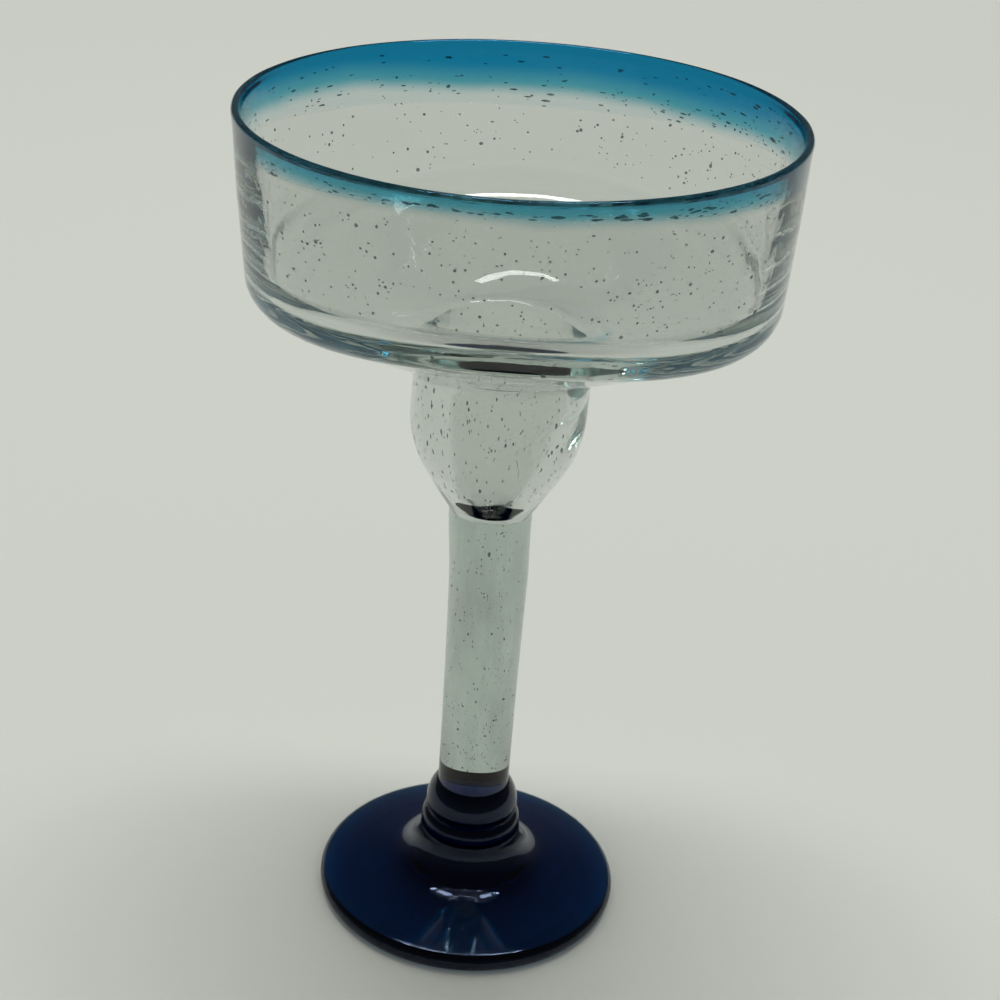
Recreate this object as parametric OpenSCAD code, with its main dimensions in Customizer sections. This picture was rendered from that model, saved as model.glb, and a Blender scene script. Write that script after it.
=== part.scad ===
// Hand-blown margarita glass with a coloured lip, a solid stem and a cobalt foot.
// Millimetres, +Z up. The origin is the middle of the ring that the foot rests on.
// The heights of the five pieces stack up to the whole height of the glass.

/* [Basin] */
// Outer diameter of the basin at its lip
rim_d = 120; // [100:1:140]
// Height of the basin, from the foot of its funnel to the lip
basin_h = 54.5; // [48:0.5:64]
// How much wider the basin is at the lip than at its rounded shoulder
basin_flare = 3.2; // [1:0.2:6]
// Thickness of the basin wall at the lip
wall_t = 3; // [2.4:0.1:3.6]
// Thickness of the basin wall just above the shoulder
shoulder_t = 3.8; // [3:0.1:5]
// Thickness of the basin floor at the shoulder
floor_t = 4.2; // [3.6:0.2:6]
// Outer rounding of the shoulder, between wall and underside
shoulder_r = 7.5; // [6:0.5:11]
// How far the underside falls from the shoulder to the cup
underside_fall = 16; // [8:0.5:18]
// Height of the basin floor over the underside, where it drops into the cup
brink_t = 3.7; // [3:0.1:6]
// Diameter of the fire-polished bead that ends the lip
bead_d = 3.6; // [3:0.1:4.4]

/* [Cup] */
// Outer diameter of the small cup under the basin
cup_d = 39; // [34:0.2:46]
// Height of the cup, from the stem to the underside of the basin
cup_h = 37.5; // [34:0.5:44]
// Height of the tapered lower part of the cup
cup_taper_h = 16.5; // [14:0.5:20]
// Rounding between the taper and the upright part of the cup
cup_round_r = 26; // [14:1:36]
// Inner diameter of the cup
bore_d = 28; // [24:0.5:31]
// Inner radius of the curve that closes the bore
bore_curve_r = 24; // [20:1:30]
// Rounding of the edge where the basin floor drops into the cup
brink_r = 10; // [4:0.5:12]
// Diameter of the pinched neck over the well
neck_d = 8.4; // [7:0.2:10]
// Diameter of the well, the tip of the blown bubble
well_d = 10.6; // [10.2:0.2:13]
// Height of the well up to its neck
well_h = 5; // [4.5:0.5:8]
// Thickness of glass under the well
well_floor_t = 1.6; // [1.2:0.1:3]

/* [Lip wrap] */
// Height of the coloured wrap where it is lowest on the lip
wrap_front_h = 3.6; // [3.2:0.2:8]
// Height of the coloured wrap opposite, where it reaches furthest down
wrap_back_h = 14.6; // [9:0.2:20]

/* [Stem] */
// Diameter of the stem where it stands on the collar
stem_foot_d = 17; // [14:0.5:20]
// Diameter of the stem where the cup sits on it
stem_top_d = 19; // [16:0.5:22]
// Length of the stem
stem_h = 74; // [60:0.5:90]

/* [Collar] */
// Height of the collar between foot and stem
collar_h = 13; // [11:0.5:16]
// Diameter of the upper bead of the collar
collar_bead_d = 22; // [20:0.2:25]
// Diameter of the lower ring of the collar
collar_ring_d = 23.6; // [22.4:0.2:25]
// Height of the lower ring of the collar
collar_ring_h = 4.4; // [3.6:0.2:5.4]
// Diameter at the groove between bead and ring
collar_groove_d = 21; // [19:0.2:21.8]

/* [Foot] */
// Diameter of the foot
foot_d = 72; // [60:1:86]
// Height of the foot up to the collar
foot_h = 18; // [14:0.5:22]
// Thickness of the rounded edge of the foot
foot_edge_h = 5; // [4:0.5:7]
// Diameter of the neck of the foot under the collar
foot_neck_d = 24; // [23.6:0.2:27]
// Radius of the hollow curve from the neck to the slope of the foot
foot_flare_r = 10; // [7:0.5:12]
// Width of the ring that the foot rests on
foot_rest_w = 5; // [3:0.5:8]
// Depth of the hollow under the foot
foot_dish_h = 3.2; // [2:0.2:5]
// Diameter of the scar that the pontil rod leaves under the foot
pontil_d = 15; // [10:1:20]
// Height of that scar
pontil_h = 0.9; // [0.5:0.1:1.4]

/* [Smoothness] */
// Number of steps in each curve of an outline
curve_steps = 10; // [8:1:14]

/* [Hidden] */
$fn = 36;

// Levels at which one piece ends and the next begins
collar_z = foot_h;
stem_z = collar_z + collar_h;
cup_z = stem_z + stem_h;
basin_z = cup_z + cup_h;
rim_z = basin_z + basin_h;

// Radii that two pieces share
rim_r = rim_d / 2;
cup_r = cup_d / 2;
bore_r = bore_d / 2;
stem_foot_r = stem_foot_d / 2;
stem_top_r = stem_top_d / 2;
bead_r = bead_d / 2;

// Colours of the three glasses
clear_glass = [0.80, 0.86, 0.83, 0.45];
aqua_glass = [0.02, 0.47, 0.66, 0.75];
cobalt_glass = [0.02, 0.06, 0.28, 0.95];

// A circular arc as points, from angle a0 to angle a1
function arc(centre, r, a0, a1) =
    [for (i = [0:curve_steps]) let (a = a0 + (a1 - a0) * i / curve_steps) centre + r * [cos(a), sin(a)]];

function unit(v) = v / norm(v);

// The corner at b of the path a, b, c, rounded with radius r
function rounded(a, b, c, r) =
    let (
        u = unit(a - b),
        v = unit(c - b),
        half = acos(u * v) / 2,
        start = b + u * r / tan(half),
        end = b + v * r / tan(half),
        centre = b + unit(u + v) * r / sin(half),
        a0 = atan2(start.y - centre.y, start.x - centre.x),
        a1 = atan2(end.y - centre.y, end.x - centre.x),
        turn = a1 - a0 > 180 ? a1 - a0 - 360 : a1 - a0 < -180 ? a1 - a0 + 360 : a1 - a0
    )
    arc(centre, r, a0, a0 + turn);

// Height that a curve of radius r climbs from radius inner to an upright wall at radius outer
function curve_rise(r, inner, outer) = sqrt(r * r - (r - (outer - inner)) * (r - (outer - inner)));

module turned(outline) {
    rotate_extrude() polygon(outline);
}

// Foot: a shallow cone with a round edge, a hollow curve up to the neck and a dished underside
edge_r = foot_edge_h / 2;
edge_centre = [foot_d / 2 - edge_r, edge_r];
flare_centre = [foot_neck_d / 2 + foot_flare_r, foot_h];
foot_span = edge_centre - flare_centre;
foot_slope = atan2(foot_span.y, foot_span.x) + asin((edge_r + foot_flare_r) / norm(foot_span));
rest_r = edge_centre.x - foot_rest_w;
dish_r = (rest_r * rest_r + foot_dish_h * foot_dish_h) / (2 * foot_dish_h);
dish_half = asin(rest_r / dish_r);

module foot() color(cobalt_glass) {
    difference() {
        turned(concat(
            [[0, 0]],
            arc(edge_centre, edge_r, -90, 90 + foot_slope),
            arc(flare_centre, foot_flare_r, 270 + foot_slope, 180),
            [[0, foot_h]]
        ));
        turned(concat(
            [[0, -edge_r]],
            [[rest_r, -edge_r]],
            arc([0, foot_dish_h - dish_r], dish_r, 90 - dish_half, 90)
        ));
    }
    pontil_scar();
}

// The scar is a low knob, sunk by its own height into the glass over it
module pontil_scar() {
    scar_r = pontil_d / 2;
    turned([
        [0, foot_dish_h - pontil_h],
        [scar_r - pontil_h, foot_dish_h - pontil_h],
        [scar_r, foot_dish_h],
        [scar_r, foot_dish_h + pontil_h],
        [0, foot_dish_h + pontil_h]
    ]);
}

// Collar: a lower ring and a taller bead, with a groove between them
module collar() color(cobalt_glass) {
    ring_r = collar_ring_h / 2;
    groove_z = collar_z + collar_ring_h;
    bead_low = [collar_bead_d / 2, groove_z + collar_ring_h / 2];
    shoulder_h = stem_z - bead_low.y;
    draw_in = bead_low.x - stem_foot_r;
    bead_curve = (draw_in * draw_in + shoulder_h * shoulder_h) / (2 * draw_in);
    turned(concat(
        [[0, collar_z]],
        arc([collar_ring_d / 2 - ring_r, collar_z + ring_r], ring_r, -90, 60),
        [[collar_groove_d / 2, groove_z]],
        arc([bead_low.x - bead_curve, bead_low.y], bead_curve, 0, asin(shoulder_h / bead_curve)),
        [[0, stem_z]]
    ));
}

// Stem: a solid rod whose radius grows with the square of the height
module stem() color(clear_glass) {
    turned(concat(
        [[0, stem_z]],
        [for (i = [0:curve_steps]) let (t = i / curve_steps)
            [stem_foot_r + (stem_top_r - stem_foot_r) * t * t, stem_z + stem_h * t]],
        [[0, cup_z]]
    ));
}

// Bowl: one blown bubble, with a wide basin over a small thick-walled cup
shoulder_wall_r = rim_r - basin_flare;
shoulder_z = basin_z + underside_fall;
inner_shoulder_r = shoulder_wall_r - shoulder_t;
inner_fillet = shoulder_r - shoulder_t / 2;
floor_z = shoulder_z + floor_t;
brink_z = basin_z + brink_t;
well_z = cup_z + well_floor_t;
neck_z = well_z + well_h;

// Outer outline, from the stem to the lip
function bowl_outside() = concat(
    [[stem_top_r, cup_z]],
    rounded([stem_top_r, cup_z], [cup_r, cup_z + cup_taper_h], [cup_r, basin_z], cup_round_r),
    [[cup_r, basin_z]],
    rounded([cup_r, basin_z], [shoulder_wall_r, shoulder_z], [rim_r, rim_z], shoulder_r),
    arc([rim_r - bead_r, rim_z - bead_r], bead_r, 0, 90)
);

// Inner outline, from the lip down to the bottom of the well
function bowl_inside() = concat(
    arc([rim_r - bead_r, rim_z - bead_r], bead_r, 90, 180),
    [[rim_r - wall_t, rim_z - bead_d]],
    rounded([rim_r - wall_t, rim_z], [inner_shoulder_r, floor_z], [bore_r, brink_z], inner_fillet),
    rounded([inner_shoulder_r, floor_z], [bore_r, brink_z], [bore_r, cup_z], brink_r),
    arc([bore_r - bore_curve_r, neck_z + curve_rise(bore_curve_r, neck_d / 2, bore_r)], bore_curve_r,
        0, -asin(curve_rise(bore_curve_r, neck_d / 2, bore_r) / bore_curve_r)),
    rounded([neck_d / 2, neck_z], [well_d / 2, well_z + well_h / 2], [well_d / 2, well_z], well_h / 4),
    rounded([well_d / 2, neck_z], [well_d / 2, well_z], [0, well_z], well_h / 3)
);

module blown_bubble() {
    turned(concat([[0, cup_z]], bowl_outside(), bowl_inside(), [[0, well_z]]));
}

// The space over the seam of the wrap, which leans down towards the back
module over_the_seam() {
    lean = atan((wrap_back_h - wrap_front_h) / rim_d);
    middle_z = rim_z - (wrap_back_h + wrap_front_h) / 2;
    translate([0, 0, middle_z]) rotate([-lean, 0, 0]) cylinder(r = rim_d, h = rim_d);
}

module bowl() color(clear_glass) {
    difference() {
        blown_bubble();
        over_the_seam();
    }
}

// Lip wrap: the coloured glass that ends the wall of the clear bubble
module lip_wrap() color(aqua_glass) {
    intersection() {
        blown_bubble();
        over_the_seam();
    }
}

foot();
collar();
stem();
bowl();
lip_wrap();
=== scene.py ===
"""Looks of a hand-blown margarita glass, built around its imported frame.

The glass is one continuous gather, so its pieces share their outlines: each clear or tinted piece is a closed
skin, and the faces where two of them are fused let light straight through.
"""

import math

import bpy
import numpy as np
from mathutils import Matrix, Vector


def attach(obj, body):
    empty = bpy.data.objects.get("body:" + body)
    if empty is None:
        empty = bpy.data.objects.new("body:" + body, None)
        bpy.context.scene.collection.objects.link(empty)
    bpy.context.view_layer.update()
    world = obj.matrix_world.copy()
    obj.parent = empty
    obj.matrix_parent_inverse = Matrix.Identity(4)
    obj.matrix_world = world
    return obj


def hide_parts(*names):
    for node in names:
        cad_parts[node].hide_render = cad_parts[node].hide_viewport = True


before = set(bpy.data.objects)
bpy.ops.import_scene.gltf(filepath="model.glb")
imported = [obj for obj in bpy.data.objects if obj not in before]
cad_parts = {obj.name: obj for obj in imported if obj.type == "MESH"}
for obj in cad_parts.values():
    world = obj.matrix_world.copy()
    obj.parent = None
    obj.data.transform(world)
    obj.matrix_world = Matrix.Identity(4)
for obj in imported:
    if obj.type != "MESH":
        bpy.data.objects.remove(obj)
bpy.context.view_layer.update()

bl_info = {
    "name": "Margarita Glass",
    "version": (1, 0, 0),
    "blender": (4, 5, 0),
    "location": "3D View > Sidebar > Glass",
    "description": "Builds a seeded, hand-blown margarita glass with a tinted lip and a cobalt foot",
    "category": "Add Mesh",
}

MM = 0.001
TURN = 2 * math.pi

# Columns round the wide pieces and round the slim ones
TURNS = 240
SLIM_TURNS = 120

# Spacing of the rows of faces on the bowl, the foot and the collar, and of the points of an outline
STEP = 0.9 * MM
FOOT_STEP = 0.5 * MM
COLLAR_STEP = 0.35 * MM
FINE_STEP = 0.1 * MM

# Radius of the last row of faces before a pole
POLE_R = 0.4 * MM

# Face attribute that is 1 where two pieces are fused, and the gap that keeps those faces apart
JOINT = "joint"
JOINT_GAP = 0.02 * MM

GLASS_IOR = 1.5
BOUNCES = 32

# Heights in metres over which each unevenness of hand work sets in or dies away
BASIN_STARTS = (0.142, 0.158)
BASIN_LOW_ENDS = (0.160, 0.182)
LIP_STARTS = (0.178, 0.195)
CUP_BENDS = (0.085, 0.104)
CUP_BEND_ENDS = (0.128, 0.152)
BORE_SHIFTS = (0.118, 0.134)
BORE_SHIFT_ENDS = (0.146, 0.156)
WALL_STARTS = (0.150, 0.160)
CUP_STARTS = (0.104, 0.112)
CUP_ENDS = (0.140, 0.152)

# How a seed is stretched: out from the axis, round the axis and upwards
WALL_SEED = (0.9, 1.2, 1.1)
FLOOR_SEED = (1.2, 1.2, 0.8)
CUP_SEED = (0.8, 0.8, 1.9)
LIP_SEED = (0.8, 3.4, 0.8)
STEM_SEED = (0.32, 0.32, 1.1)


def length(name, description, millimetres, low=0.1, high=400.0):
    """A property that holds a length, given in millimetres."""
    return bpy.props.FloatProperty(
        name=name, description=description, default=millimetres * MM, min=low * MM, max=high * MM,
        precision=5, subtype="DISTANCE", unit="LENGTH")


def tint(name, description, colour):
    """A property that holds a linear colour."""
    return bpy.props.FloatVectorProperty(name=name, description=description, default=colour, size=3,
                                         min=0.0, max=1.0, subtype="COLOR")


def density(name, description, value):
    """A property that holds an absorption for each metre."""
    return bpy.props.FloatProperty(name=name, description=description, default=value, min=0.0, max=5000.0)


def count(name, description, value):
    """A property that holds a number of things."""
    return bpy.props.IntProperty(name=name, description=description, default=value, min=0, max=5000)


class BowlSizes(bpy.types.PropertyGroup):
    """Basin and cup, blown as one bubble."""

    rim_r: length("Lip radius", "Outer radius at the lip", 60.0)
    rim_z: length("Lip height", "Height of the lip over the table", 197.0)
    bead_r: length("Lip bead radius", "Radius of the fire-polished edge", 0.85)
    wall: length("Wall", "Wall of the basin at the lip", 2.1)
    flare: length("Flare", "How much wider the lip is than the shoulder", 3.2)
    shoulder_wall: length("Shoulder wall", "Wall of the basin over its shoulder", 3.8)
    shoulder_z: length("Shoulder height", "Height at which wall and underside would meet", 158.5)
    shoulder_round: length("Shoulder rounding", "Outer rounding of the shoulder", 7.5)
    floor: length("Basin floor", "Thickness of the basin floor", 4.2)
    fall: length("Underside fall", "How far the underside falls from the shoulder to the cup", 16.0)
    floor_fall: length("Floor fall", "How far the basin floor falls from the shoulder to the bore", 16.5)
    cup_r: length("Cup radius", "Outer radius of the cup", 19.5)
    cup_z: length("Cup height", "Height at which the cup meets the stem", 105.0)
    cup_taper: length("Cup taper", "Height of the tapered lower part of the cup", 16.5)
    cup_round: length("Cup rounding", "Rounding between the taper and the upright part", 26.0)
    bore_r: length("Bore radius", "Inner radius of the cup", 14.0)
    bore_curve: length("Bore curve", "Radius of the curve that closes the bore", 46.0)
    inner_round: length("Inner rounding", "Rounding between the inner wall and the basin floor", 10.0)
    brink: length("Brink", "Rounding where the basin floor drops into the cup", 16.0)
    tip_r: length("Tip radius", "Radius of the well, the round tip of the bubble", 4.0)
    tip_h: length("Tip height", "Height of that tip", 1.6)
    tip_floor: length("Tip floor", "Glass under the tip", 0.8)


class WrapSizes(bpy.types.PropertyGroup):
    """The tinted wrap round the lip."""

    front_h: length("Front height", "Height of the wrap at the front of the lip", 3.6)
    back_h: length("Back height", "Height of the wrap at the back of the lip", 14.6)
    fade_h: length("Fade", "Height over which the tint fades out at the foot of the wrap", 4.0)


class StemSizes(bpy.types.PropertyGroup):
    """The solid rod between collar and cup."""

    foot_r: length("Lower radius", "Radius where the stem stands on the collar", 8.5)
    top_r: length("Upper radius", "Radius where the cup sits on the stem", 9.5)
    base_z: length("Base height", "Height of the stem's lower end", 31.0)


class FootSizes(bpy.types.PropertyGroup):
    """The cobalt foot and the collar on it."""

    foot_r: length("Foot radius", "Outer radius of the foot", 36.0)
    foot_h: length("Foot height", "Height of the foot up to the collar", 18.0)
    edge_h: length("Edge", "Thickness of the rounded edge", 5.0)
    neck_r: length("Neck radius", "Radius of the foot under the collar", 12.0)
    flare_r: length("Flare", "Radius of the hollow curve over the slope", 10.0)
    rest_w: length("Resting ring", "Width of the ring that the foot rests on", 5.0)
    dish_h: length("Dish", "Depth of the hollow underside", 3.2)
    scar_r: length("Scar radius", "Radius of the pontil scar", 7.5)
    scar_h: length("Scar height", "Height of the pontil scar", 0.9)
    bead_r: length("Collar bead radius", "Radius of the upper bead of the collar", 11.0)
    ring_r: length("Collar ring radius", "Radius of the lower ring of the collar", 11.8)
    ring_h: length("Collar ring height", "Height of the lower ring", 4.4)
    groove_r: length("Groove radius", "Radius of the groove between bead and ring", 10.5)


class SeedSizes(bpy.types.PropertyGroup):
    """The seeds, small bubbles trapped in the glass."""

    wall_count: count("Seeds in the wall", "Number of seeds in the wall of the basin", 800)
    floor_count: count("Seeds in the floor", "Number of seeds in the floor of the basin", 260)
    lip_count: count("Seeds in the wrap", "Number of flat seeds in the turquoise wrap", 320)
    cup_count: count("Seeds in the cup", "Number of seeds in the cup", 260)
    stem_count: count("Seeds in the stem", "Number of seeds in the stem", 420)
    girth: length("Girth", "Mean radius across a seed", 0.18, 0.02, 2.0)
    seed: bpy.props.IntProperty(name="Draw", description="Number that the random draw starts from", default=7)


class GlassColours(bpy.types.PropertyGroup):
    """Colours of the three glasses, and how much light they take."""

    clear: tint("Clear glass", "Grey of recycled glass, over one wall", (0.785, 0.805, 0.785))
    clear_depth: tint("Clear depth", "Colour that a long way through the clear glass tends to",
                      (0.11, 0.29, 0.22))
    clear_density: density("Bowl density", "Absorption of the bowl's glass for each metre", 9.0)
    stem_density: density("Stem density", "Absorption of the stem's glass, full of fine seeds, for each metre",
                          33.0)
    aqua: tint("Turquoise", "Tint of the wrap, over one wall", (0.012, 0.28, 0.52))
    aqua_thin: tint("Thin turquoise", "Tint of the wrap where it thins out over the clear wall",
                    (0.12, 0.46, 0.55))
    aqua_depth: tint("Turquoise depth", "Colour that a long way through the wrap tends to", (0.0, 0.5, 0.75))
    aqua_density: density("Turquoise density", "Absorption of the wrap for each metre", 60.0)
    aqua_gloss: tint("Turquoise gloss", "Tint of the wrap's reflections", (0.25, 0.55, 1.0))
    violet: tint("Violet edge", "Tint of the wrap where it is deepest", (0.008, 0.20, 0.38))
    cobalt: tint("Cobalt", "Colour that a long way through the cobalt glass tends to", (0.0, 0.47, 0.68))
    cobalt_gloss: tint("Cobalt gloss", "Tint of the cobalt glass's reflections", (0.5, 0.6, 1.0))
    cobalt_density: density("Cobalt density", "Absorption of the cobalt glass for each metre", 500.0)
    # Painted shade: the seeds' grey tint stands in for the darkness of light bent away by a bubble.
    seed: tint("Seeds", "Tint of the trapped bubbles", (0.22, 0.25, 0.23))
    cloth: tint("Backdrop", "Colour of floor and backdrop", (0.64, 0.65, 0.61))


GROUPS = (("mg_bowl", BowlSizes), ("mg_wrap", WrapSizes), ("mg_stem", StemSizes), ("mg_foot", FootSizes),
          ("mg_seeds", SeedSizes), ("mg_glass", GlassColours))


def arc(centre, radius, start, end, steps=28):
    """Points centre + radius * (cos a, sin a), for an angle a that runs evenly from start to end degrees."""
    a = np.radians(np.linspace(start, end, steps))
    return np.asarray(centre) + radius * np.stack([np.cos(a), np.sin(a)], -1)


def rounded(before, corner, after, radius, steps=28):
    """The corner of a path, replaced with the arc of that radius that touches both of its sides."""
    before, corner, after = (np.asarray(p, float) for p in (before, corner, after))
    u = (before - corner) / np.linalg.norm(before - corner)
    v = (after - corner) / np.linalg.norm(after - corner)
    half = math.acos(float(u @ v)) / 2
    bisector = (u + v) / np.linalg.norm(u + v)
    centre = corner + bisector * radius / math.sin(half)
    start = corner + u * radius / math.tan(half) - centre
    end = corner + v * radius / math.tan(half) - centre
    a0 = math.degrees(math.atan2(start[1], start[0]))
    swing = (math.degrees(math.atan2(end[1], end[0])) - a0 + 540) % 360 - 180
    return arc(centre, radius, a0, a0 + swing, steps)


def evenly(path, step):
    """The path with its points set again at even spacing along its length; both ends stay."""
    path = np.asarray(path, float)
    run = np.concatenate([[0], np.cumsum(np.linalg.norm(np.diff(path, axis=0), axis=1))])
    keep = np.concatenate([[True], np.diff(run) > 0])
    run, path = run[keep], path[keep]
    s = np.linspace(0, run[-1], max(2, int(round(run[-1] / step)) + 1))
    return np.stack([np.interp(s, run, path[:, 0]), np.interp(s, run, path[:, 1])], -1)


def smooth(x, low, high):
    """0 below low, 1 above high, and an even S curve between."""
    t = np.clip((x - low) / (high - low), 0, 1)
    return t * t * (3 - 2 * t)


def hand_made(points, inner=0.0):
    """The points, moved by the unevenness of hand work, which depends on where a point is.

    The basin leans, sits a little to the right and sags by two and four waves round, its lip is an oval, its wall
    ripples by sines of the angle and the height, the cup bends a little to the left, and the bore (inner = 1) runs
    off centre."""
    x, y, z = points[..., 0], points[..., 1], points[..., 2]
    r = np.hypot(x, y) + 1e-9
    c, s = x / r, y / r
    angle = np.arctan2(y, x)
    lobes = c * c - s * s

    basin = smooth(z, *BASIN_STARTS)
    up = (z - 0.157) / 0.040
    rise_right, fall_front = 0.9 / 60, 1.9 / 60
    dx = basin * MM * (1 - up)
    dy = -basin * 0.6 * MM * up
    dz = basin * (rise_right * x - fall_front * y)
    low = basin * (1 - smooth(z, *BASIN_LOW_ENDS))
    dz = dz - low * (r / 0.06) ** 2 * MM * (2.8 * lobes + (2 * c * s) ** 2 - c * s)

    oval = -smooth(z, *LIP_STARTS) * MM * (0.5 * lobes + 0.4 * s * c)
    cup_bend = 0.6 * MM * smooth(z, *CUP_BENDS) * (1 - smooth(z, *CUP_BEND_ENDS))
    bore = inner * smooth(z, *BORE_SHIFTS) * (1 - smooth(z, *BORE_SHIFT_ENDS)) * (1 - smooth(r, 0.018, 0.026))
    dx = dx - cup_bend + 1.6 * MM * bore

    wall = smooth(r, 0.035, 0.055) * smooth(z, *WALL_STARTS) * MM
    both_sides = (0.06 * np.sin(5 * angle + 20 * z) + 0.025 * np.sin(11 * angle - 30 * z + 1.0)
                  + 0.02 * np.sin(23 * angle + 20 * z + 2.0))
    swell = wall * (both_sides * (1 - 0.5 * inner) + 0.03 * inner * np.sin(7 * angle + 40 * z))
    cup = (1 - smooth(z, *CUP_ENDS)) * smooth(z, *CUP_STARTS) * MM
    swell = swell + cup * (0.12 * np.sin(3 * angle + 150 * z + 0.6) + 0.10 * inner * np.sin(5 * angle - 420 * z))
    out = oval + swell
    return points + np.stack([dx + out * c, dy + out * s, dz], -1)


def turned(path, turns, inner=0.0):
    """A profile (radius, height) carried round the axis, as a grid of points: rows along the profile, columns
    round the axis. The profile may differ from column to column."""
    path = np.asarray(path)
    if path.ndim == 2:
        path = np.repeat(path[:, None, :], turns, axis=1)
    a = round_angles(turns)
    grid = np.stack([path[..., 0] * np.cos(a), path[..., 0] * np.sin(a), path[..., 1]], -1)
    if np.ndim(inner):
        inner = np.asarray(inner)[:, None]
    return hand_made(grid, inner)


def skin(name, grid, material, joints=None):
    """A closed mesh from a grid whose columns run round the axis. Fans of triangles join the first row and the last
    row to poles at their middles; joints marks the bands of faces, fans included, that are fused."""
    rows, turns = grid.shape[:2]
    i, j = np.meshgrid(np.arange(rows - 1), np.arange(turns), indexing="ij")
    k = (j + 1) % turns
    quads = np.stack([i * turns + j, i * turns + k, (i + 1) * turns + k, (i + 1) * turns + j], -1)
    j, k, end = j[0], k[0], (rows - 1) * turns
    first_fan = np.stack([k, j, np.full(turns, rows * turns)], -1)
    last_fan = np.stack([end + j, end + k, np.full(turns, rows * turns + 1)], -1)
    points = np.vstack([grid.reshape(-1, 3), grid[0].mean(0), grid[-1].mean(0)])
    bands = np.repeat(np.concatenate([np.arange(1, rows), [0, rows]]), turns)
    fused = None if joints is None else joints[bands]
    return solid(name, points, [quads.reshape(-1, 4), first_fan, last_fan], material, fused)


def solid(name, points, faces, material, joints=None):
    """A mesh object at the origin from points and arrays of triangles or quads; joints is 1 on fused faces."""
    mesh = bpy.data.meshes.new(name)
    sizes = np.concatenate([np.full(len(f), f.shape[1]) for f in faces])
    corners = np.concatenate([f.ravel() for f in faces]).astype(np.int32)
    mesh.vertices.add(len(points))
    mesh.vertices.foreach_set("co", np.ascontiguousarray(points, np.float32).ravel())
    mesh.loops.add(len(corners))
    mesh.loops.foreach_set("vertex_index", corners)
    mesh.polygons.add(len(sizes))
    mesh.polygons.foreach_set("loop_start", np.concatenate([[0], np.cumsum(sizes)[:-1]]).astype(np.int32))
    mesh.materials.append(material)
    if joints is not None:
        mesh.attributes.new(JOINT, "FLOAT", "FACE").data.foreach_set("value", joints.astype(np.float32))
    mesh.polygons.foreach_set("use_smooth", np.ones(len(sizes), bool))
    mesh.update(calc_edges=True)
    mesh.validate()
    mesh.set_sharp_from_angle(angle=math.radians(35))
    piece = bpy.data.objects.new(name, mesh)
    bpy.context.scene.collection.objects.link(piece)
    return piece


def ring(name, grid, material, joints):
    """A closed ring: a grid whose rows and columns both run round. joints marks the bands of faces that are fused,
    the last of them from the last row back to the first."""
    rows, turns = grid.shape[:2]
    i, j = np.meshgrid(np.arange(rows), np.arange(turns), indexing="ij")
    h, k = (i + 1) % rows, (j + 1) % turns
    quads = np.stack([i * turns + j, i * turns + k, h * turns + k, h * turns + j], -1).reshape(-1, 4)
    return solid(name, grid.reshape(-1, 3), [quads], material, np.repeat(joints, turns))


def finish_piece(piece, slot, *nodes):
    """Makes a piece ride on the body and stand for its nodes. The slot is not used."""
    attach(piece, "root")
    if nodes:
        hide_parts(*nodes)


class Nodes:
    """A short way to add and link shader nodes."""

    def __init__(self, owner):
        """Empties the node tree of a material or a world."""
        owner.use_nodes = True
        self.tree = owner.node_tree
        self.tree.nodes.clear()
        self.x = 0

    def add(self, kind, inputs=None, **settings):
        """A node whose inputs are linked to sockets or set to values."""
        node = self.tree.nodes.new(kind)
        self.x += 180
        node.location = (self.x, 0)
        for key, value in settings.items():
            setattr(node, key, value)
        for key, value in (inputs or {}).items():
            socket = node.inputs[key]
            if isinstance(value, bpy.types.NodeSocket):
                self.tree.links.new(value, socket)
            elif hasattr(socket.default_value, "__len__") and len(socket.default_value) == 4 and len(value) == 3:
                socket.default_value = (*value, 1.0)
            else:
                socket.default_value = value
        return node

    def maths(self, operation, a, b=0.0, c=0.0):
        """The result of one operation on up to three values."""
        return self.add("ShaderNodeMath", {0: a, 1: b, 2: c}, operation=operation).outputs[0]

    def ramp(self, value, low, high, to_low=0.0, to_high=1.0):
        """An even S curve from to_low to to_high, while the value goes from low to high."""
        limits = {"Value": value, "From Min": low, "From Max": high, "To Min": to_low, "To Max": to_high}
        return self.add("ShaderNodeMapRange", limits, interpolation_type="SMOOTHSTEP").outputs[0]

    def blend(self, factor, a, b):
        """The colour a where the factor is 0, and b where it is 1."""
        node = self.add("ShaderNodeMix", data_type="RGBA", clamp_factor=True)
        for socket, value in ((node.inputs[0], factor), (node.inputs[6], a), (node.inputs[7], b)):
            if isinstance(value, bpy.types.NodeSocket):
                self.tree.links.new(value, socket)
            else:
                socket.default_value = (*value, 1.0) if hasattr(value, "__len__") else value
        return node.outputs[2]

    def noise(self, vector, scale, detail=2.0, roughness=0.5):
        """Soft random shades, scale of them to a metre."""
        return self.add("ShaderNodeTexNoise", {"Vector": vector, "Scale": scale, "Detail": detail,
                        "Roughness": roughness}).outputs[0]

    def bumpy(self, height, strength, distance):
        """Normals that follow a height."""
        inputs = {"Height": height, "Strength": strength, "Distance": distance}
        return self.add("ShaderNodeBump", inputs).outputs[0]

    def glass(self, colour, gloss, normal, depth_colour, density):
        """Smooth glass that takes light in its depth. Its fused faces are see-through, so light goes straight on."""
        joint = self.add("ShaderNodeAttribute", attribute_name=JOINT).outputs["Fac"]
        surface = self.add("ShaderNodeBsdfPrincipled", {
            "Base Color": colour, "Roughness": 0.0, "IOR": GLASS_IOR, "Specular Tint": gloss,
            "Alpha": self.maths("SUBTRACT", 1.0, joint), "Transmission Weight": 1.0, "Normal": normal})
        depth = self.add("ShaderNodeVolumeAbsorption", {"Color": depth_colour, "Density": density})
        self.output(surface.outputs[0], depth.outputs[0])

    def output(self, surface, volume=None):
        """The material's output."""
        links = {"Surface": surface}
        if volume is not None:
            links["Volume"] = volume
        self.add("ShaderNodeOutputMaterial", links)


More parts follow.
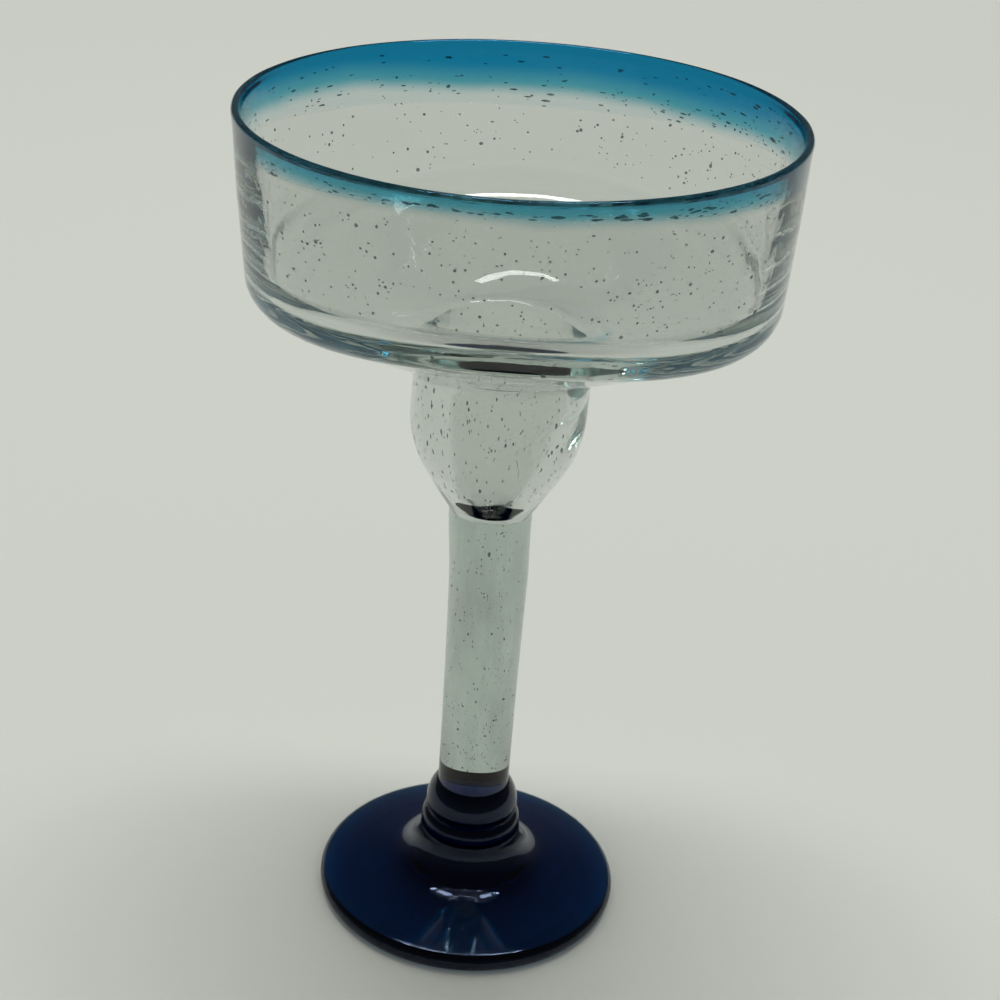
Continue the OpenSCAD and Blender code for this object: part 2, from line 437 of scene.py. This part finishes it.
def stem_colour(n, place, look):
    """Grey streaks that are drawn out along the stem."""
    clear = tuple(look.clear)
    drawn_out = n.add("ShaderNodeMapping", {"Vector": place, "Scale": (1.0, 1.0, 0.18)}).outputs[0]
    streaks = n.ramp(n.noise(drawn_out, 170.0, 4.0, 0.6), 0.35, 0.65)
    return n.blend(streaks, tuple(c * 0.84 for c in clear), tuple(c * 1.12 for c in clear))


def wrap_colour(n, place, look):
    """The wrap's turquoise over clear glass: deepest at the lip, and fading out over a line that leans down towards
    the back. The clear glass is painted paler where it is seen edge on, a painted light on its edges."""
    bowl, wrap = bpy.context.scene.mg_bowl, bpy.context.scene.mg_wrap
    _, y, z = n.add("ShaderNodeSeparateXYZ", {"Vector": place}).outputs
    lean = (wrap.back_h - wrap.front_h) / (2 * bowl.rim_r)
    middle = bowl.rim_z - (wrap.back_h + wrap.front_h) / 2
    drift = n.maths("MULTIPLY_ADD", n.noise(place, 38.0, 2.0), 3.0 * MM, -1.5 * MM)
    over = n.maths("ADD", n.maths("SUBTRACT", z, n.maths("MULTIPLY_ADD", y, -lean, middle)), drift)
    thin = n.ramp(over, -0.1 * wrap.fade_h, 0.9 * wrap.fade_h)
    full = n.ramp(over, 0.5 * wrap.fade_h, 2 * wrap.fade_h)
    near_lip = n.ramp(n.maths("SUBTRACT", bowl.rim_z, z), 0.0, 12 * MM, 1.0, 0.0)
    deep = n.blend(n.maths("MULTIPLY", near_lip, 0.5), tuple(look.aqua), tuple(look.violet))
    # Painted light: the tint goes to white where the glass is seen edge on, which lightens its edges.
    edge_on = n.add("ShaderNodeLayerWeight", {"Blend": 0.5}).outputs["Facing"]
    pale = n.blend(n.ramp(edge_on, 0.45, 0.95), tuple(look.clear), (1.0, 1.0, 1.0))
    return n.blend(full, n.blend(thin, pale, tuple(look.aqua_thin)), deep)


def blown_glass(name, look, colour, depth_colour, density, gloss=(1.0, 1.0, 1.0)):
    """Recycled glass with a faint ripple, whose colour over one wall is what the function colour gives."""
    material = bpy.data.materials.new(name)
    n = Nodes(material)
    place = n.add("ShaderNodeTexCoord").outputs["Object"]
    ripple = n.bumpy(n.noise(place, 90.0, 2.0, 0.45), 0.12, 0.6 * MM)
    n.glass(colour(n, place, look), tuple(gloss), ripple, tuple(depth_colour), density)
    return material


def cobalt_glass(name, look):
    """Cobalt glass, coloured in its depth, so that it is black where thick and navy where thin."""
    material = bpy.data.materials.new(name)
    n = Nodes(material)
    place = n.add("ShaderNodeTexCoord").outputs["Object"]
    ripple = n.bumpy(n.noise(place, 120.0, 3.0, 0.5), 0.06, 0.5 * MM)
    n.glass((0.85, 0.9, 1.0), tuple(look.cobalt_gloss), ripple, tuple(look.cobalt), look.cobalt_density)
    return material


def seed_glass(name, look):
    """Trapped bubbles, which show dark against the light: their grey tint is painted shade."""
    material = bpy.data.materials.new(name)
    n = Nodes(material)
    place = n.add("ShaderNodeTexCoord").outputs["Object"]
    # Painted shade: dark and light copies of the seed grey, spread at random, darken every bubble.
    dark, light = (tuple(c * k for c in look.seed) for k in (0.5, 1.8))
    shade = n.blend(n.noise(place, 700.0, 0.0), dark, light)
    n.output(n.add("ShaderNodeBsdfPrincipled", {
        "Base Color": shade, "Roughness": 0.1, "IOR": 1.1, "Transmission Weight": 1.0}).outputs[0])
    return material


def bowl_outside(b, stem_top_r):
    """Outer outline of the bubble: the tapered cup, the basin's underside, its shoulder, its wall and the bead."""
    basin_z = b.shoulder_z - b.fall
    return np.vstack([
        [(stem_top_r, b.cup_z)],
        rounded((stem_top_r, b.cup_z), (b.cup_r, b.cup_z + b.cup_taper), (b.cup_r, basin_z), b.cup_round),
        rounded((b.cup_r, b.cup_z), (b.cup_r, basin_z), (b.rim_r - b.flare, b.shoulder_z), 0.8 * MM, 8),
        rounded((b.cup_r, basin_z), (b.rim_r - b.flare, b.shoulder_z), (b.rim_r, b.rim_z), b.shoulder_round),
        arc((b.rim_r - b.bead_r, b.rim_z - b.bead_r), b.bead_r, 0, 90)])


def bowl_inside(b):
    """Inner outline of the bubble: the lip's bead, the wall, the basin floor, the brink, the curve that closes the
    bore, and the quarter ellipse of the well."""
    corner = (b.rim_r - b.flare - b.shoulder_wall, b.shoulder_z + b.floor)
    brink = (b.bore_r, corner[1] - b.floor_fall)
    tip_top = b.cup_z + b.tip_floor + b.tip_h
    draw_in = b.bore_r - b.tip_r
    rise = math.sqrt(b.bore_curve ** 2 - (b.bore_curve - draw_in) ** 2)
    end = -math.degrees(math.asin(rise / b.bore_curve))
    tip = arc((0, 0), 1.0, 0, -86, 48)
    return np.vstack([
        arc((b.rim_r - b.bead_r, b.rim_z - b.bead_r), b.bead_r, 90, 180),
        [(b.rim_r - b.wall, b.rim_z - 2 * b.bead_r)],
        rounded((b.rim_r - b.wall, b.rim_z), corner, brink, b.inner_round),
        rounded(corner, brink, (b.bore_r, b.cup_z), b.brink),
        arc((b.bore_r - b.bore_curve, tip_top + rise), b.bore_curve, 0, end, 60),
        np.array([0, tip_top]) + np.array([b.tip_r, b.tip_h]) * tip])


def round_angles(turns):
    """The angles of the columns, evenly spaced round the axis."""
    return np.linspace(0, TURN, turns, endpoint=False)


def seam_height(b, w, a):
    """Height of the wrap's seam at the angles a: a plane that leans down towards the back."""
    return b.rim_z - (w.back_h + w.front_h) / 2 - (w.back_h - w.front_h) / 2 * np.sin(a)


def along(path, s):
    """Points of the path at the lengths s, an array of any shape."""
    run = np.concatenate([[0], np.cumsum(np.linalg.norm(np.diff(path, axis=0), axis=1))])
    return np.stack([np.interp(s, run, path[:, 0]), np.interp(s, run, path[:, 1])], -1)


def reach(path, z):
    """Length along the path at which its height is z, where the path rises or falls all the way."""
    run = np.concatenate([[0], np.cumsum(np.linalg.norm(np.diff(path, axis=0), axis=1))])
    heights = path[:, 1]
    if heights[-1] < heights[0]:
        return np.interp(-z, -heights, run)
    return np.interp(z, heights, run)


def total(path):
    """Length of the path."""
    return float(np.linalg.norm(np.diff(path, axis=0), axis=1).sum())


def wall_paths(b, stem_top_r):
    """The outline cut at the level where the wall is plain on both sides: below it, and above it."""
    cut = b.shoulder_z + 14 * MM
    outside = evenly(bowl_outside(b, stem_top_r), FINE_STEP)
    inside = evenly(bowl_inside(b), FINE_STEP)
    return (outside[outside[:, 1] <= cut], outside[outside[:, 1] >= cut],
            inside[inside[:, 1] >= cut], inside[inside[:, 1] <= cut])


class MARGARITA_OT_lip_wrap(bpy.types.Operator):
    """Adds the turquoise wrap that ends the wall of the basin"""

    bl_idname = "margarita.lip_wrap"
    bl_label = "Lip Wrap"

    def execute(self, context):
        s = context.scene
        b, w = s.mg_bowl, s.mg_wrap
        _, outer, inner, _ = wall_paths(b, s.mg_stem.top_r)
        z = seam_height(b, w, round_angles(TURNS)) + JOINT_GAP
        side_rows = 44
        up = np.linspace(0, 1, side_rows)[:, None]
        start, stop = reach(outer, z), reach(inner, z)
        rows = np.concatenate([along(outer, start + (total(outer) - start) * up), along(inner, stop * up[1:])])
        cap = rows[-1:] + (rows[:1] - rows[-1:]) * np.array([1 / 3, 2 / 3])[:, None, None]
        inside = np.concatenate([np.zeros(side_rows), np.ones(side_rows - 1), [1, 0]])
        grid = turned(np.concatenate([rows, cap]), TURNS, inside)
        joints = np.zeros(len(grid))
        joints[-len(cap) - 1:] = 1
        look = s.mg_glass
        glass = blown_glass("turquoise_lip_glass", look, wrap_colour, look.aqua_depth, look.aqua_density,
                            look.aqua_gloss)
        piece = ring("turquoise_lip", grid, glass, joints)
        finish_piece(piece, "aqua_lip_glass", "lip_wrap")
        return {"FINISHED"}


class MARGARITA_OT_bowl(bpy.types.Operator):
    """Adds the clear bubble: the wide basin and the small cup under it"""

    bl_idname = "margarita.bowl"
    bl_label = "Bowl"

    def execute(self, context):
        s = context.scene
        b, w = s.mg_bowl, s.mg_wrap
        low_out, high_out, high_in, low_in = wall_paths(b, s.mg_stem.top_r)
        z = seam_height(b, w, round_angles(TURNS))
        wall_rows = 30
        up = np.linspace(0, 1, wall_rows)[:, None]
        lower = evenly(low_out, STEP)
        inner = evenly(low_in, STEP)
        spread = np.ones((1, TURNS, 1))
        rise = along(high_out, reach(high_out, z) * up)
        start = reach(high_in, z)
        fall = along(high_in, start + (total(high_in) - start) * up)
        cap = rise[-1:] + (fall[:1] - rise[-1:]) * np.array([1 / 3, 2 / 3])[:, None, None]
        centre = np.array([[POLE_R, b.cup_z], [s.mg_stem.top_r / 2, b.cup_z]])
        path = np.concatenate([centre[:, None] * spread, lower[:-1, None] * spread, rise, cap, fall,
                               inner[1:, None] * spread])
        outside_rows = 2 + len(lower) - 1 + len(rise)
        cap_inside = [0.33, 0.67]
        inside = np.concatenate([np.zeros(outside_rows), cap_inside, np.ones(len(fall) + len(inner) - 1)])
        grid = turned(path, TURNS, inside)
        joints = np.zeros(len(grid) + 1)
        joints[:3] = 1
        joints[outside_rows:outside_rows + len(cap) + 1] = 1
        look = s.mg_glass
        glass = blown_glass("clear_bowl_glass", look, wrap_colour, look.clear_depth, look.clear_density)
        piece = skin("seeded_bowl", grid, glass, joints)
        finish_piece(piece, "clear_bowl_glass", "bowl")
        return {"FINISHED"}


def ball_of_twenty_faces():
    """The icosahedron: its 12 corners at distance 1 and its 20 faces, from a top, two rings of five and a foot."""
    a = np.arange(5) * TURN / 5
    h, r = 1 / math.sqrt(5), 2 / math.sqrt(5)
    upper = np.stack([r * np.cos(a), r * np.sin(a), np.full(5, h)], -1)
    lower = np.stack([r * np.cos(a + TURN / 10), r * np.sin(a + TURN / 10), np.full(5, -h)], -1)
    corners = np.vstack([[(0, 0, 1)], upper, lower, [(0, 0, -1)]])
    i = np.arange(5)
    k = (i + 1) % 5
    faces = np.vstack([np.stack([i * 0, 1 + i, 1 + k], -1), np.stack([1 + i, 6 + i, 1 + k], -1),
                       np.stack([1 + k, 6 + i, 6 + k], -1), np.stack([i * 0 + 11, 6 + k, 6 + i], -1)])
    return corners, faces


def scatter(name, rows, inner, sizes, material):
    """One closed ball of twenty faces at each place (radius, angle, height), stretched by sizes (out from the
    axis, round it, upwards) and moved with the unevenness of the glass."""
    radius, angle, height = rows
    c, s = np.cos(angle), np.sin(angle)
    centre = hand_made(np.stack([radius * c, radius * s, height], -1), inner)
    corners, faces = ball_of_twenty_faces()
    out = np.stack([c, s, 0 * c], -1)
    round_it = np.stack([-s, c, 0 * c], -1)
    up = np.stack([0 * c, 0 * c, 1 + 0 * c], -1)
    axes = sizes[:, :, None] * np.stack([out, round_it, up], 1)
    points = centre[:, None] + corners @ axes
    faces = faces[None] + len(corners) * np.arange(len(centre))[:, None, None]
    return solid(name, points.reshape(-1, 3), [faces.reshape(-1, 3)], material)


class MARGARITA_OT_seeds(bpy.types.Operator):
    """Adds the seeds, small bubbles trapped in the clear glass and in the wrap"""

    bl_idname = "margarita.seeds"
    bl_label = "Seeds"

    def execute(self, context):
        s = context.scene
        b, w, m, k = s.mg_bowl, s.mg_wrap, s.mg_stem, s.mg_seeds
        rng = np.random.default_rng(k.seed)
        low_out, high_out, high_in, low_in = wall_paths(b, m.top_r)
        # The seeds' glass, tinted with painted shade.
        dark = seed_glass("seed_glass", s.mg_glass)

        def sizes(n, shape):
            """Radii of n seeds: the girth, drawn from a bell curve of logarithms, times the shape."""
            scale = k.girth * np.exp(rng.normal(0, 0.35, n))
            return scale[:, None] * np.array([shape]) * rng.uniform(0.8, 1.25, (n, 3))

        def angles(n, to_right=0.0):
            """Angles all round the axis, with a share of them drawn to the right side."""
            anywhere = rng.uniform(0, TURN, n)
            return np.where(rng.random(n) < to_right, 0.5 * rng.normal(0, 1.0, n), anywhere)

        def between(outside, inside, share, z=None, r=None):
            """The radius at height z, or the height at radius r, a share of the way from outside to inside."""
            at, known, wanted = (z, 1, 0) if r is None else (r, 0, 1)
            return (np.interp(at, outside[:, known], outside[:, wanted]) * (1 - share)
                    + np.interp(at, inside[:, known], inside[:, wanted]) * share)

        n = k.wall_count
        a = angles(n, 0.25)
        z = rng.uniform(b.shoulder_z + 8 * MM, b.rim_z - 8 * MM, n)
        t = rng.uniform(0.25, 0.75, n)
        wall_out = np.vstack([low_out[low_out[:, 1] > b.shoulder_z], high_out[:-1]])
        wall_in = np.vstack([high_in[:-1], low_in[low_in[:, 1] > b.shoulder_z + 6 * MM]])[::-1]
        wall = (between(wall_out, wall_in, t, z=z), a, z), t, sizes(n, WALL_SEED)

        n = k.floor_count
        a, t = angles(n, 0.2), rng.uniform(0.25, 0.75, n)
        r = np.sqrt(rng.uniform((24 * MM) ** 2, (50 * MM) ** 2, n))
        under = low_out[low_out[:, 0] > b.cup_r + 1 * MM]
        floor = (r, a, between(under, low_in[::-1], t, r=r)), t, sizes(n, FLOOR_SEED)

        n = k.cup_count
        a, t = angles(n), rng.uniform(0.15, 0.85, n)
        z = rng.uniform(b.cup_z + 4 * MM, b.shoulder_z - b.fall - 2 * MM, n)
        cup = (between(low_out, low_in[::-1], t, z=z), a, z), t, sizes(n, CUP_SEED)

        parts = (wall, floor, cup)
        rows = tuple(np.concatenate([part[0][i] for part in parts]) for i in range(3))
        piece = scatter("bowl_seeds", rows, np.concatenate([part[1] for part in parts]),
                        np.concatenate([part[2] for part in parts]), dark)
        finish_piece(piece, "clear_bowl_glass")

        n = k.lip_count
        a, t = angles(n, 0.2), rng.uniform(0.3, 0.7, n)
        z = rng.uniform(seam_height(b, w, a), b.rim_z - 2.5 * MM)
        r = between(high_out, high_in[::-1], t, z=z)
        piece = scatter("lip_seeds", (r, a, z), t, sizes(n, LIP_SEED), dark)
        finish_piece(piece, "aqua_lip_glass")

        n = k.stem_count
        a = angles(n)
        z = m.base_z + 3 * MM + (b.cup_z - m.base_z - 6 * MM) * rng.random(n) ** 1.2
        r = 0.9 * m.foot_r * np.sqrt(rng.random(n))
        piece = scatter("stem_seeds", (r, a, z), np.zeros(n), sizes(n, STEM_SEED), dark)
        finish_piece(piece, "clear_stem_glass")
        return {"FINISHED"}


class MARGARITA_OT_stem(bpy.types.Operator):
    """Adds the solid clear stem"""

    bl_idname = "margarita.stem"
    bl_label = "Stem"

    def execute(self, context):
        s = context.scene
        m, top = s.mg_stem, s.mg_bowl.cup_z - JOINT_GAP
        t = np.linspace(0, 1, 80)[:, None]
        low_z = m.base_z + JOINT_GAP
        side = np.concatenate([m.foot_r + (m.top_r - m.foot_r) * t * t, low_z + (top - low_z) * t], 1)
        low = np.array([[POLE_R, low_z], [m.foot_r / 2, low_z]])
        high = np.array([[m.top_r / 2, top], [POLE_R, top]])
        path = np.vstack([low, side, high])
        grid = turned(path, SLIM_TURNS)
        joints = np.zeros(len(grid) + 1)
        joints[:3] = joints[-3:] = 1
        look = s.mg_glass
        glass = blown_glass("clear_stem_glass", look, stem_colour, look.clear_depth, look.stem_density)
        piece = skin("clear_stem", grid, glass, joints)
        finish_piece(piece, "clear_stem_glass", "stem")
        return {"FINISHED"}


class MARGARITA_OT_collar(bpy.types.Operator):
    """Adds the cobalt collar: a lower ring and a taller bead"""

    bl_idname = "margarita.collar"
    bl_label = "Collar"

    def execute(self, context):
        s = context.scene
        f, m = s.mg_foot, s.mg_stem
        half = f.ring_h / 2
        groove_z = f.foot_h + f.ring_h
        bead_z = groove_z + half
        shoulder = m.base_z - bead_z
        draw_in = f.bead_r - m.foot_r
        curve = (draw_in ** 2 + shoulder ** 2) / (2 * draw_in)
        sink = 0.2 * MM
        path = np.vstack([
            [(POLE_R, f.foot_h - sink), (f.ring_r - half - sink, f.foot_h - sink)],
            arc((f.ring_r - half, f.foot_h + half), half, -90, 50),
            rounded((f.ring_r - 0.3 * MM, groove_z - 1.5 * MM), (f.groove_r, groove_z), (f.bead_r, bead_z),
                    0.3 * MM, 8),
            arc((f.bead_r - curve, bead_z), curve, 0, math.degrees(math.asin(shoulder / curve)), 40),
            [(m.foot_r / 2, m.base_z), (POLE_R, m.base_z)]])
        path = evenly(path, COLLAR_STEP)
        grid = turned(path, SLIM_TURNS)
        top = path[:, 1] > m.base_z - 0.01 * MM
        joints = np.concatenate([[0], top[1:] & top[:-1], [1]])
        glass = cobalt_glass("cobalt_collar_glass", s.mg_glass)
        piece = skin("cobalt_collar", grid, glass, joints)
        finish_piece(piece, "cobalt_collar_glass", "collar")
        return {"FINISHED"}


class MARGARITA_OT_foot(bpy.types.Operator):
    """Adds the cobalt foot with its round edge and its dished underside"""

    bl_idname = "margarita.foot"
    bl_label = "Foot"

    def execute(self, context):
        s = context.scene
        f = s.mg_foot
        edge = f.edge_h / 2
        edge_centre = np.array([f.foot_r - edge, edge])
        flare_centre = np.array([f.neck_r + f.flare_r, f.foot_h])
        span = edge_centre - flare_centre
        touch = math.asin((edge + f.flare_r) / float(np.hypot(*span)))
        slope = math.degrees(math.atan2(span[1], span[0]) + touch)
        rest = edge_centre[0] - f.rest_w
        dish = (rest ** 2 + f.dish_h ** 2) / (2 * f.dish_h)
        half = math.degrees(math.asin(rest / dish))
        under = arc((0, f.dish_h - dish), dish, 90, 90 - half, 40)
        under = under[under[:, 0] > f.scar_r]
        scar_z = f.dish_h - f.scar_h
        path = np.vstack([
            [(POLE_R, scar_z)],
            rounded((0, scar_z), (f.scar_r, scar_z), (f.scar_r + 0.4 * MM, f.dish_h), 0.6 * MM, 8),
            under,
            arc(edge_centre, edge, -90, 90 + slope, 48),
            arc(flare_centre, f.flare_r, 270 + slope, 180, 40),
            [(f.neck_r / 2, f.foot_h), (POLE_R, f.foot_h)]])
        grid = turned(evenly(path, FOOT_STEP), TURNS)
        glass = cobalt_glass("cobalt_foot_glass", s.mg_glass)
        piece = skin("cobalt_foot", grid, glass)
        finish_piece(piece, "cobalt_foot_glass", "foot")
        return {"FINISHED"}


class MARGARITA_OT_stage(bpy.types.Operator):
    """Adds the floor, the backdrop, the soft lights and the camera"""

    bl_idname = "margarita.stage"
    bl_label = "Stage"

    def execute(self, context):
        s = context.scene
        self.cloth(s.mg_glass)
        for side in (-1, 1):
            self.lamp("overhead_tube", (0.0, 0.30 + side * 0.09, 2.43), (1.75, 0.20), 18.0)
        self.room(s)
        self.camera(s)
        s.cycles.max_bounces = BOUNCES
        s.cycles.glossy_bounces = BOUNCES
        s.cycles.transmission_bounces = BOUNCES
        s.cycles.transparent_max_bounces = BOUNCES
        s.view_settings.view_transform = "Standard"
        return {"FINISHED"}

    def cloth(self, look):
        """A pale cloth: a flat floor that bends up behind the glass."""
        front, back, half_width, bend = -1.6, 0.75, 2.2, 1.2
        path = np.vstack([[(front, 0)], arc((back, bend), bend, -90, -60, 24)])
        sides = np.array([-half_width, half_width])
        grid = np.stack([np.repeat(sides[None, :], len(path), 0), np.repeat(path[:, :1], 2, 1),
                         np.repeat(path[:, 1:], 2, 1) - 0.05 * MM], -1)
        i = np.arange(len(path) - 1)
        quads = np.stack([2 * i, 2 * i + 1, 2 * i + 3, 2 * i + 2], -1)
        cloth = bpy.data.materials.new("studio_cloth")
        n = Nodes(cloth)
        n.output(n.add("ShaderNodeBsdfPrincipled", {
            "Base Color": tuple(look.cloth), "Roughness": 0.9, "Specular IOR Level": 0.1}).outputs[0])
        solid("studio_floor", grid.reshape(-1, 3), [quads], cloth)

    def room(self, s):
        """A dim room. Pale light reaches the cloth from all sides, and the glass lets more of the room through than
        it mirrors."""
        world = bpy.data.worlds.new("studio")
        s.world = world
        n = Nodes(world)
        ray = n.add("ShaderNodeLightPath").outputs
        after_cloth = n.maths("MINIMUM", ray["Diffuse Depth"], 1.0)
        way = n.add("ShaderNodeSeparateXYZ", {"Vector": n.add("ShaderNodeTexCoord").outputs["Generated"]})
        mirrored = n.ramp(way.outputs["Z"], 0.10, 0.60, 0.12, 0.06)
        through = n.ramp(way.outputs["Z"], 0.10, 0.90, 0.62, 0.40)
        gain = n.maths("SUBTRACT", through, mirrored)
        seen = n.maths("MULTIPLY_ADD", ray["Is Transmission Ray"], gain, mirrored)
        strength = n.maths("ADD", n.maths("MULTIPLY", after_cloth, 0.42),
                           n.maths("MULTIPLY", n.maths("SUBTRACT", 1.0, after_cloth), seen))
        back = n.add("ShaderNodeBackground", {"Color": (0.97, 0.98, 0.95), "Strength": strength})
        n.add("ShaderNodeOutputWorld", {"Surface": back.outputs[0]})

    def lamp(self, name, place, size, power):
        """A soft lamp that faces down, with its size in metres and its power in watts."""
        light = bpy.data.lights.new(name, "AREA")
        light.shape = "RECTANGLE"
        light.size, light.size_y = size
        light.energy = power
        light.color = (0.98, 1.0, 0.97)
        box = bpy.data.objects.new(name, light)
        box.location = place
        bpy.context.scene.collection.objects.link(box)

    def camera(self, s):
        """The photograph's camera: pitched down 27.6 degrees and rolled 4.4 degrees, 0.53 m away."""
        yaw, pitch, roll = (math.radians(v) for v in (0.18, 27.62, 4.38))
        ahead = Vector((math.sin(yaw) * math.cos(pitch), math.cos(yaw) * math.cos(pitch), -math.sin(pitch)))
        right = Vector((math.cos(yaw), -math.sin(yaw), 0))
        up = right.cross(ahead)
        across = right * math.cos(roll) + up * math.sin(roll)
        over = up * math.cos(roll) - right * math.sin(roll)
        lens = bpy.data.cameras.new("photo_camera")
        lens.sensor_width = 36
        lens.lens = 75.7
        lens.clip_start = 0.01
        eye = bpy.data.objects.new("photo_camera", lens)
        turn = Matrix((across, over, -ahead)).transposed().to_4x4()
        eye.matrix_world = Matrix.Translation((0.0, -0.4188, 0.3257)) @ turn
        s.collection.objects.link(eye)
        s.camera = eye


class MARGARITA_PT_glass(bpy.types.Panel):
    """Lists the sizes, the colours and the pieces"""

    bl_idname = "MARGARITA_PT_glass"
    bl_label = "Margarita Glass"
    bl_space_type = "VIEW_3D"
    bl_region_type = "UI"
    bl_category = "Glass"

    def draw(self, context):
        for key, group in GROUPS:
            box = self.layout.box()
            for name in group.__annotations__:
                box.prop(getattr(context.scene, key), name)
        for operator in PIECES:
            self.layout.operator(operator.bl_idname)


PIECES = (MARGARITA_OT_stage, MARGARITA_OT_foot, MARGARITA_OT_collar, MARGARITA_OT_stem, MARGARITA_OT_bowl,
          MARGARITA_OT_lip_wrap, MARGARITA_OT_seeds)
CLASSES = tuple(group for _, group in GROUPS) + PIECES + (MARGARITA_PT_glass,)


def register():
    """Registers the classes and hangs the groups on the scene."""
    for one in CLASSES:
        bpy.utils.register_class(one)
    for key, group in GROUPS:
        setattr(bpy.types.Scene, key, bpy.props.PointerProperty(type=group))


def unregister():
    """Takes the groups and the classes away again."""
    for key, _ in GROUPS:
        delattr(bpy.types.Scene, key)
    for one in reversed(CLASSES):
        bpy.utils.unregister_class(one)


def main():
    """Builds the stage and every piece."""
    register()
    bpy.ops.margarita.stage()
    bpy.ops.margarita.foot()
    bpy.ops.margarita.collar()
    bpy.ops.margarita.stem()
    bpy.ops.margarita.bowl()
    bpy.ops.margarita.lip_wrap()
    bpy.ops.margarita.seeds()
    bpy.context.view_layer.update()


if __name__ == "__main__":
    main()
